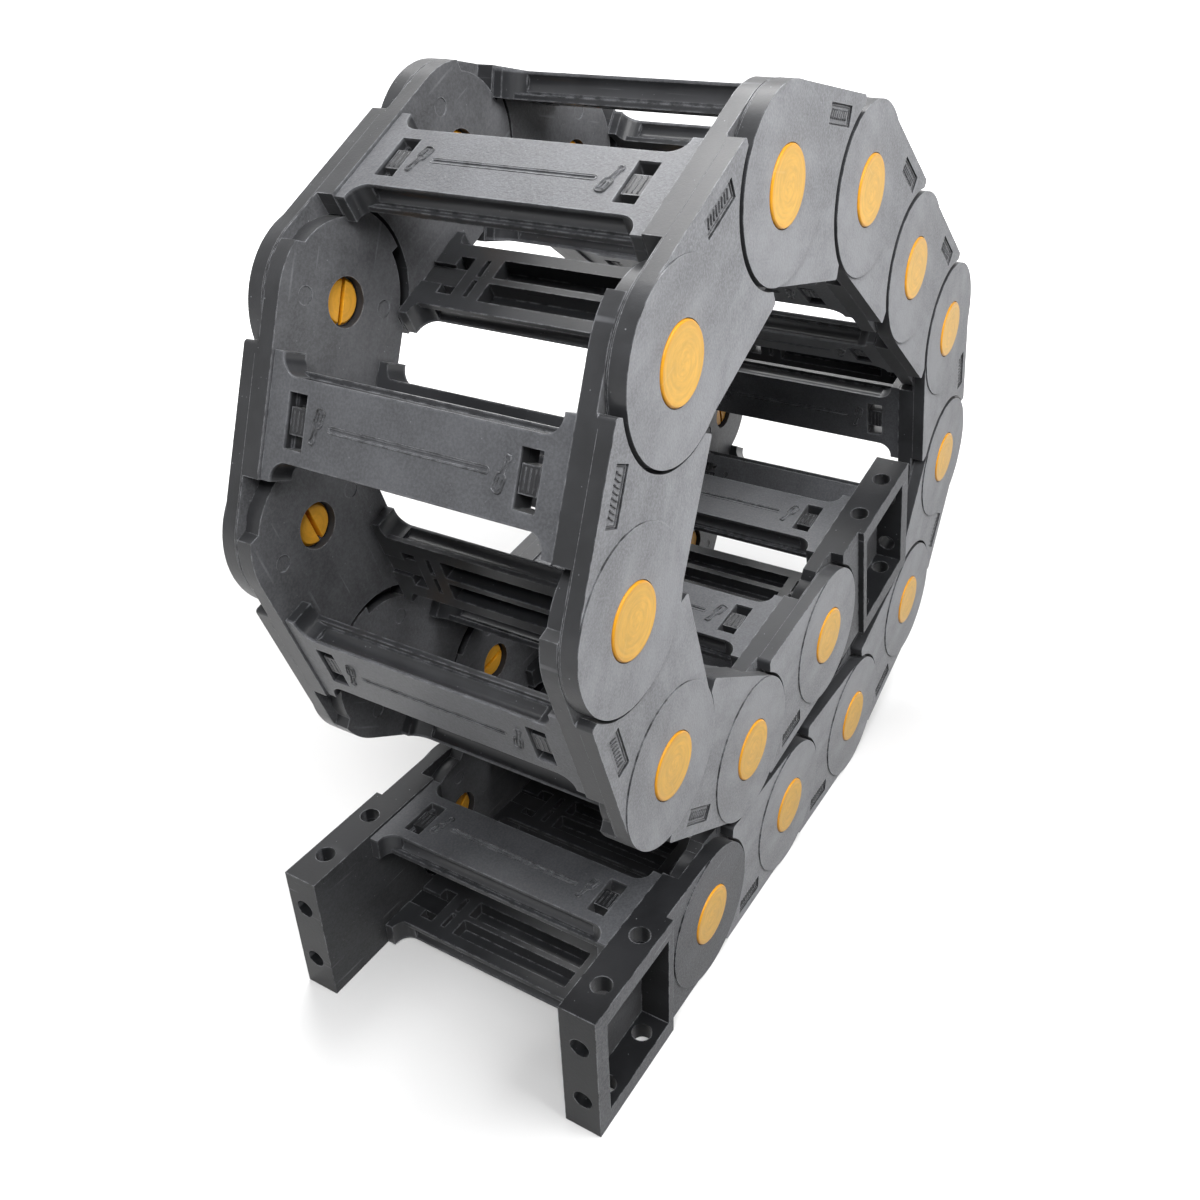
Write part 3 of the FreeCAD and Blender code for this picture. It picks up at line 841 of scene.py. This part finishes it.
@dataclass(frozen=True)
class ToolMark:
    """Raised outline of a plain screwdriver, which says where the crossbar is levered off.

    Attributes:
        length: From the handle's end to the tip.
        handle: Length of the handle.
        handle_width: Width of the handle.
        shaft_width: Width of the shaft.
        line: Width of the raised line.
        relief: Height of the raised line.
        slant: Turn of the mark, in degrees.
        neck: Length over which the handle narrows to the shaft.
        blade: Length of the blade at the tip.
        blade_flare: Length over which the shaft widens to the blade.
        cap: Depth of the handle's round end, as a share of half its width.
        shoulder: Length over which the handle is drawn in before its neck.
        shoulder_share: The handle's width at its neck, as a share of its width.
        blade_share: Half the blade's width where it is widest, as a share of the shaft's width.
        tip_share: Half the tip's width, as a share of the shaft's width.
        grip_start: From the handle's end to its two grip lines.
        grip_end: From the grip lines to the handle's neck.
        grip_offset: From the mark's middle to a grip line.
    """

    length: float = 10.3 * MM
    handle: float = 4.9 * MM
    handle_width: float = 3.0 * MM
    shaft_width: float = 1.05 * MM
    line: float = 0.56 * MM
    relief: float = 0.5 * MM
    slant: float = -15.0
    neck: float = 0.45 * MM
    blade: float = 1.5 * MM
    blade_flare: float = 0.45 * MM
    cap: float = 0.55
    shoulder: float = 0.5 * MM
    shoulder_share: float = 0.85
    blade_share: float = 0.95
    tip_share: float = 0.62
    grip_start: float = 1.1 * MM
    grip_end: float = 0.9 * MM
    grip_offset: float = 0.62 * MM

    def outline(self) -> np.ndarray:
        """Closed outline, half of it given and mirrored: cap, handle, neck, shaft and blade.

        Returns:
            Points of shape (count, 2): along the mark and across it.
        """
        cap = np.linspace(0.0, np.pi / 2, 7)
        half = self.handle_width / 2
        cap_x = half * self.cap * (1.0 - np.cos(cap))
        cap_y = half * np.sin(cap)
        neck = self.handle + self.neck
        blade = self.length - self.blade
        shaft = self.shaft_width
        tail_x = [self.handle - self.shoulder, self.handle, neck, blade, blade + self.blade_flare,
                  self.length]
        tail_y = [half, half * self.shoulder_share, shaft / 2, shaft / 2, shaft * self.blade_share,
                  shaft * self.tip_share]
        upper = np.stack([np.concatenate([cap_x, tail_x]), np.concatenate([cap_y, tail_y])], axis=-1)
        lower = upper[::-1] * np.array([1.0, -1.0])
        loop = np.concatenate([upper, lower[:-1]])
        return loop - np.array([self.length / 2, 0.0])

    def grids(self, middle: np.ndarray, out: float, turn: float) -> list[np.ndarray]:
        """Ridge grids of one mark, in a section's own frame.

        Args:
            middle: The mark's middle on the surface.
            out: 1 if the surface faces up in the section, -1 if down.
            turn: 1, or -1 for the mark turned half round.

        Returns:
            The closed outline's grid, and two grip lines on the handle.
        """
        slant = math.radians(self.slant) * out
        ahead = np.array([math.cos(slant), math.sin(slant), 0.0]) * turn
        beside = np.array([-math.sin(slant), math.cos(slant), 0.0]) * turn
        raised = RaisedLine(self.line, self.relief)
        face = Face(middle, ahead, beside, out * UP)
        grids = [raised.closed(face, self.outline())]
        along = np.linspace(self.grip_start, self.handle - self.grip_end, 6) - self.length / 2
        for offset in (-self.grip_offset, self.grip_offset):
            points = np.stack([along, np.full_like(along, offset)], axis=-1)
            grids.append(raised.grid(face, points, np.gradient(points, axis=0)))
        return grids


@dataclass(frozen=True)
class PartingLine:
    """Fine uneven flash that the mould's joint leaves round a side plate's edge.

    Attributes:
        width: Width of the flash.
        height: Greatest height of the flash.
        start: Where it begins, past the near hinge.
        across: Its distance from the chain's middle.
        step: Spacing of its points.
        waves: Lengths of the waves that its height follows.
    """

    width: float = 0.20 * MM
    height: float = 0.10 * MM
    start: float = 18.0 * MM
    across: float = 56.4 * MM
    step: float = 0.4 * MM
    waves: tuple[float, ...] = (0.37 * MM, 0.91 * MM, 2.6 * MM)

    def grid(self, side: Side, pitch: float, radius: float, seed: int) -> np.ndarray:
        """Flash along the upper edge, round the far ear and back along the lower edge.

        The height is 0.65 of the greatest plus 0.18 times the sum of three sine waves of unlike
        lengths and seeded phases, kept from 0.45 to 1.

        Args:
            side: The plate's side.
            pitch: Hinge to hinge.
            radius: Radius of the ear, which is half the plate's height.
            seed: Seed of the phases.

        Returns:
            Grid in the section's own frame.
        """
        straight, bend = pitch - self.start, math.pi * radius
        length = 2 * straight + bend
        distance = np.linspace(0.0, length, int(length / self.step))
        turn = np.clip((distance - straight) / radius, 0.0, math.pi)
        past = np.clip(distance - straight - bend, 0.0, None)
        along = np.minimum(self.start + distance, pitch) + radius * np.sin(turn) - past
        up = radius * np.cos(turn)
        out = np.stack([np.sin(turn), np.zeros_like(turn), np.cos(turn)], axis=-1)
        path = np.stack([along, np.full_like(along, side.value * self.across), up], axis=-1)
        phases = np.random.default_rng(seed).uniform(0.0, 2 * np.pi, len(self.waves))
        wander = sum(np.sin(distance / wave + phase) for wave, phase in zip(self.waves, phases))
        height = self.height * np.clip(0.65 + 0.18 * wander, 0.45, 1.0)
        sideways = np.tile(ACROSS, (len(distance), 1))
        return ridge(path, sideways, out, np.full_like(height, self.width), height, 4)


def joined_mesh(name: str, grids: list[np.ndarray]) -> Mesh:
    """One smooth mesh from several grids of points.

    Args:
        name: The mesh's name.
        grids: Arrays of shape (rows, columns, 3), in metres.

    Returns:
        The mesh.
    """
    points, faces, first = [], [], 0
    for grid in grids:
        rows, columns = grid.shape[:2]
        i, j = np.meshgrid(np.arange(rows - 1), np.arange(columns - 1), indexing="ij")
        corner = first + i * columns + j
        faces.append(np.stack([corner, corner + columns, corner + columns + 1, corner + 1],
                              axis=-1).reshape(-1, 4))
        points.append(grid.reshape(-1, 3))
        first += rows * columns
    mesh = bpy.data.meshes.new(name)
    mesh.from_pydata(np.concatenate(points).tolist(), [], np.concatenate(faces).tolist())
    mesh.polygons.foreach_set("use_smooth", np.ones(len(mesh.polygons), bool))
    shape = bmesh.new()
    shape.from_mesh(mesh)
    bmesh.ops.remove_doubles(shape, verts=shape.verts, dist=SAME_POINT)
    shape.to_mesh(mesh)
    shape.free()
    return mesh


@dataclass
class ChainSection:
    """The pieces of one section: side plates, crossbars and the pins at its far hinge.

    Attributes:
        section: The section's place and heading.
        materials: Its materials by slot, with flash for the parting lines and mark for the raised
        lines on the crossbars, which are painted dark as the shade round their relief.
        groove_ring: Length and width of the rim round a crossbar's long groove.
        groove_line: The raised line of that rim.
        latch_rib: The raised line of a latch's rib.
        latch_rib_reach: Half the length of a latch's rib.
        latch_rib_spacing: From one rib of a latch to the next.
        recess_ring: Length and width of the frame in a plate's recess.
        recess_line: The raised line of that frame.
        recess_rib: The raised line of a slanted grip rib in the recess.
        recess_rib_reach: Half the height of a grip rib.
        recess_rib_slant: How far a grip rib leans along for each unit up.
        recess_ribs_reach: From the recess's middle to its first and last rib.
        recess_rib_count: Grip ribs in a recess.
    """

    section: Section
    materials: dict[str, Material]
    groove_ring: tuple[float, float] = (54.4 * MM, 1.9 * MM)
    groove_line: RaisedLine = RaisedLine(width=0.42 * MM, height=0.16 * MM)
    latch_rib: RaisedLine = RaisedLine(width=0.6 * MM, height=0.22 * MM)
    latch_rib_reach: float = 3.1 * MM
    latch_rib_spacing: float = 1.6 * MM
    recess_ring: tuple[float, float] = (15.1 * MM, 4.9 * MM)
    recess_line: RaisedLine = RaisedLine(width=0.55 * MM, height=0.42 * MM)
    recess_rib: RaisedLine = RaisedLine(width=0.6 * MM, height=0.5 * MM)
    recess_rib_reach: float = 1.35 * MM
    recess_rib_slant: float = 0.35
    recess_ribs_reach: float = 5.6 * MM
    recess_rib_count: int = 8

    def build(self) -> None:
        """Makes every piece of the section from its CAD node."""
        name = self.section.name
        slots = {row["node"]: row["material_slot"] for row in frame["record"]["subparts"]}
        for node in frame["record"]["behaviour"]["bodies"][name]:
            slot = slots[node]
            part = MouldedPart(node, self.section, self.materials[slot], centred=slot == "pin")
            piece = part.build()
            log.info("%s: %d faces", piece.name, len(piece.data.polygons))
        self.tool_marks()
        self.groove_rims()
        self.latch_ribs()
        if name.startswith("link"):
            self.parting_lines()
            self.recess_ribs()

    def relief(self, name: str, grids: list[np.ndarray], material: Material, slot: str) -> None:
        """Makes a relief piece that rides on the section.

        Args:
            name: End of the piece's name.
            grids: Grids in the section's own frame.
            material: Its material.
            slot: The record's material slot. Not used.
        """
        mesh = joined_mesh(self.section.name + name, [self.section.to_world(grid) for grid in grids])
        write_section_place(mesh, self.section)
        mesh.materials.append(material)
        piece = new_object(mesh.name, mesh)
        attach(piece, self.section.name)
        log.info("%s: %d faces", piece.name, len(mesh.polygons))

    def node_points(self, ending: str) -> np.ndarray:
        """Vertices of the section's CAD node with that ending, in the section's own frame."""
        return section_points(frame["nodes"][self.section.name + ending].data, self.section)

    def crossbar_face(self) -> tuple[float, float]:
        """Middle of the crossbars along the section, and the height of their outer faces."""
        bars = self.node_points("_crossbars")
        return (bars[:, 0].min() + bars[:, 0].max()) / 2, bars[:, 2].max()

    def groove_rims(self) -> None:
        """Puts a fine raised rim round the long groove of both crossbars."""
        middle, height = self.crossbar_face()
        loop = long_ring(*self.groove_ring)
        grids = []
        for out in (-1, 1):
            place = np.array([middle, 0.0, out * height])
            grids.append(self.groove_line.closed(Face(place, ACROSS, ALONG, out * UP), loop))
        self.relief("_groove_rims", grids, self.materials["mark"], "crossbar")

    def latch_ribs(self) -> None:
        """Puts three fine ribs on each latch, where it shows in its crossbar's window."""
        middle, height = self.crossbar_face()
        along = np.linspace(-self.latch_rib_reach, self.latch_rib_reach, 6)
        line = np.stack([along, np.zeros_like(along)], axis=-1)
        grids = []
        for out in (-1, 1):
            for side in Side:
                for step in (-1, 0, 1):
                    across = side.value * LATCH_ACROSS + step * self.latch_rib_spacing
                    place = np.array([middle, across, out * (height - LATCH_SINK)])
                    grids.append(self.latch_rib.pointed(Face(place, ALONG, ACROSS, out * UP), line))
        self.relief("_latch_ribs", grids, self.materials["side_plate"], "side_plate")

    def recess_ribs(self) -> None:
        """Fills each plate's shallow recess with a plain frame and slanted grip ribs."""
        loop = rectangle_ring(*self.recess_ring)
        slant = np.linspace(-self.recess_rib_reach, self.recess_rib_reach, 5)
        steps = np.linspace(-self.recess_ribs_reach, self.recess_ribs_reach, self.recess_rib_count)
        grids = []
        for side in Side:
            plate = self.node_points("_%s_plate" % side.name.lower())
            half = plate[:, 2].max()
            middle = (plate[:, 0].max() - half) / 2
            floor = np.abs(plate[:, 1]).max() - EAR_BOSS - RECESS_DEPTH
            place = np.array([middle, side.value * floor, -half + RECESS_FROM_EDGE])
            face = Face(place, ALONG, UP, side.value * ACROSS)
            grids.append(self.recess_line.closed(face, loop))
            for step in steps:
                line = np.stack([step + slant * self.recess_rib_slant, slant], axis=-1)
                grids.append(self.recess_rib.pointed(face, line))
        self.relief("_recess_ribs", grids, self.materials["side_plate"], "side_plate")

    def tool_marks(self) -> None:
        """Puts a screwdriver mark beside each window of both crossbars."""
        middle, height = self.crossbar_face()
        grids = []
        for out in (-1, 1):
            for turn in (-1, 1):
                place = np.array([middle, turn * MARK_ACROSS, out * height])
                grids += ToolMark().grids(place, out, turn)
        self.relief("_tool_marks", grids, self.materials["mark"], "crossbar")

    def parting_lines(self) -> None:
        """Puts the mould's flash round both side plates."""
        grids = []
        for side in Side:
            plate = self.node_points("_%s_plate" % side.name.lower())
            radius = plate[:, 2].max()
            pitch = plate[:, 0].max() - radius
            seed = int(self.section.name[-2:]) * 2 + side.value
            grids.append(PartingLine().grid(side, pitch, radius, seed))
        self.relief("_parting_lines", grids, self.materials["flash"], "side_plate")


@dataclass(frozen=True)
class Softbox:
    """A soft square lamp: its name, its centre, its edge and its power in watts."""

    name: str
    place: Triple
    size: float
    power: float


@dataclass
class Studio:
    """Floor, light and camera.

    Attributes:
        camera_place: The camera.
        azimuth: Direction it looks, in degrees from +Y towards +X.
        elevation: How far it looks down, in degrees.
        roll: Its turn about its own line of sight, in degrees.
        field_of_view: Across the square picture, in degrees.
        middle: The part's middle, which the lamps face.
        floor_half_size: Half the floor's edge.
        floor_drop: The floor's depth below the part.
        floor_colour: The floor's colour as seen.
        floor_bounce: The floor's colour in the light that it throws back.
        white_from: Distances from the part over which the floor goes to plain white.
        ambient: Strength of the even light all round.
        ceiling: Irradiance from the ceiling, in watts per square metre.
        ceiling_angle: How wide the lit ceiling is, in degrees.
        ceiling_tilt: Turns of the ceiling's light about X and Y, in degrees.
        softboxes: The soft lamps.
    """

    camera_place: Triple = (-0.21991, -0.19716, 0.34750)
    azimuth: float = 57.007
    elevation: float = 31.600
    roll: float = -2.168
    field_of_view: float = 53.380
    middle: Triple = (0.14, 0.0, 0.14)
    floor_half_size: float = 20.0
    floor_drop: float = 0.0002
    floor_colour: Triple = (0.93, 0.93, 0.93)
    floor_bounce: Triple = (0.18, 0.18, 0.18)
    white_from: tuple[float, float] = (0.2, 0.75)
    ambient: float = 0.08
    ceiling: float = 0.95
    ceiling_angle: float = 90.0
    ceiling_tilt: tuple[float, float] = (14.0, 10.0)
    softboxes: tuple[Softbox, ...] = (
        Softbox("side_softbox", (0.08, -0.45, 0.62), 0.35, 2.85),
        Softbox("front_softbox", (-0.45, -0.25, 0.80), 0.3, 4.8),
        Softbox("back_softbox", (0.9, 0.6, 1.7), 1.0, 23.0),
    )

    def camera(self) -> None:
        """Sets the camera that matches the photograph's angle."""
        data = bpy.data.cameras.new("camera")
        data.sensor_fit = "HORIZONTAL"
        data.angle = math.radians(self.field_of_view)
        data.clip_start = 0.01
        data.clip_end = 50.0
        camera = new_object("camera", data)
        azimuth, elevation = math.radians(self.azimuth), math.radians(self.elevation)
        forward = Vector((math.sin(azimuth) * math.cos(elevation),
                          math.cos(azimuth) * math.cos(elevation), -math.sin(elevation)))
        level = forward.cross(Vector((0, 0, 1))).normalized()
        turn = Matrix.Rotation(math.radians(-self.roll), 3, forward)
        right = turn @ level
        up = right.cross(forward)
        axes = Matrix((right, up, -forward)).transposed()
        camera.matrix_world = Matrix.Translation(self.camera_place) @ axes.to_4x4()
        bpy.context.scene.camera = camera

    def floor(self) -> None:
        """Lays a pale floor under the part, white to the camera away from the shadow."""
        half = self.floor_half_size
        u, v = np.meshgrid(np.linspace(-half, half, 9), np.linspace(-half, half, 9), indexing="ij")
        points = np.stack([u, v, np.full_like(u, -self.floor_drop)], axis=-1)
        floor = new_object("floor", joined_mesh("floor", [points]))
        material = bpy.data.materials.new("floor_paper")
        material.use_nodes = True
        tree = material.node_tree
        nodes = Nodes(tree)
        path = nodes.add("LightPath")
        seen = nodes.math("MAXIMUM", path.outputs["Is Camera Ray"], path.outputs["Is Glossy Ray"])
        colour = nodes.blend(seen, self.floor_bounce + (1.0,), self.floor_colour + (1.0,))
        place = nodes.add("TexCoord").outputs["Object"]
        under = (self.middle[0], self.middle[1], 0.0)
        offset = nodes.add("VectorMath", {"operation": "SUBTRACT"}, i0=place, i1=under)
        distance = nodes.add("VectorMath", {"operation": "LENGTH"}, i0=offset.outputs[0])
        far = nodes.ramp(distance.outputs["Value"], *self.white_from)
        glow = nodes.math("MULTIPLY", far, seen)
        white = nodes.blend(glow, (0.0, 0.0, 0.0, 1.0), (1.0, 1.0, 1.0, 1.0))
        nodes.fill(tree.nodes["Principled BSDF"], Base_Color=colour, Emission_Color=white,
                   Emission_Strength=1.0, Roughness=0.9, Specular_IOR_Level=0.0)
        floor.data.materials.append(material)

    def world(self) -> None:
        """Even white light all round, with a white background for the camera."""
        world = bpy.data.worlds.new("studio")
        bpy.context.scene.world = world
        world.use_nodes = True
        tree = world.node_tree
        nodes = Nodes(tree)
        seen = nodes.add("LightPath")
        direct = nodes.math("MAXIMUM", seen.outputs["Is Camera Ray"], seen.outputs["Is Glossy Ray"])
        direct = nodes.math("MAXIMUM", direct, seen.outputs["Is Transmission Ray"])
        strength = nodes.math("MULTIPLY_ADD", direct, 1.0 - self.ambient, self.ambient)
        nodes.fill(tree.nodes["Background"], Strength=strength, Color=(1.0, 1.0, 1.0, 1.0))

    def lamp(self, softbox: Softbox) -> None:
        """Adds a soft square lamp that faces the part and that the camera doesn't see.

        Args:
            softbox: Its name, place, size and power.
        """
        data = bpy.data.lights.new(softbox.name, "AREA")
        data.size = softbox.size
        data.energy = softbox.power
        lamp = new_object(softbox.name, data)
        lamp.visible_camera = False
        direction = Vector(self.middle) - Vector(softbox.place)
        lamp.matrix_world = (Matrix.Translation(softbox.place)
                             @ direction.to_track_quat("-Z", "Y").to_matrix().to_4x4())

    def sky(self) -> None:
        """Adds the even light from the ceiling: a sun as wide as a lit ceiling."""
        data = bpy.data.lights.new("ceiling", "SUN")
        data.angle = math.radians(self.ceiling_angle)
        data.energy = self.ceiling
        lamp = new_object("ceiling", data)
        lamp.rotation_euler = (*map(math.radians, self.ceiling_tilt), 0.0)

    def build(self) -> None:
        """Sets camera, floor, world and lamps."""
        self.camera()
        self.floor()
        self.world()
        self.sky()
        for softbox in self.softboxes:
            self.lamp(softbox)


def main() -> None:
    """Builds the chain section by section, then the studio."""
    logging.basicConfig(level=logging.INFO, format="%(message)s")
    scene = bpy.context.scene
    scene.view_settings.view_transform = "Standard"
    Studio().build()
    workshop = Workshop()
    # The brackets take darker copies of the plate and crossbar plastics, as painted shade low down and
    # under the coil.
    bracket = {
        "side_plate": workshop.plastic(BRACKET_PAINTED_SHADE_PLASTIC),
        "crossbar": workshop.plastic(BRACKET_CROSSBAR_PAINTED_SHADE_PLASTIC),
        "pin": workshop.plastic(PIN_PLASTIC),
        "mark": workshop.plastic(MARK_PAINTED_SHADE_PLASTIC),
    }
    link = {
        **bracket,
        "side_plate": workshop.plastic(PLATE_PLASTIC),
        "crossbar": workshop.plastic(CROSSBAR_PLASTIC),
        "flash": workshop.plastic(FLASH_PLASTIC),
    }
    for section in read_sections():
        ChainSection(section, link if section.name.startswith("link") else bracket).build()


if __name__ == "__main__":
    main()
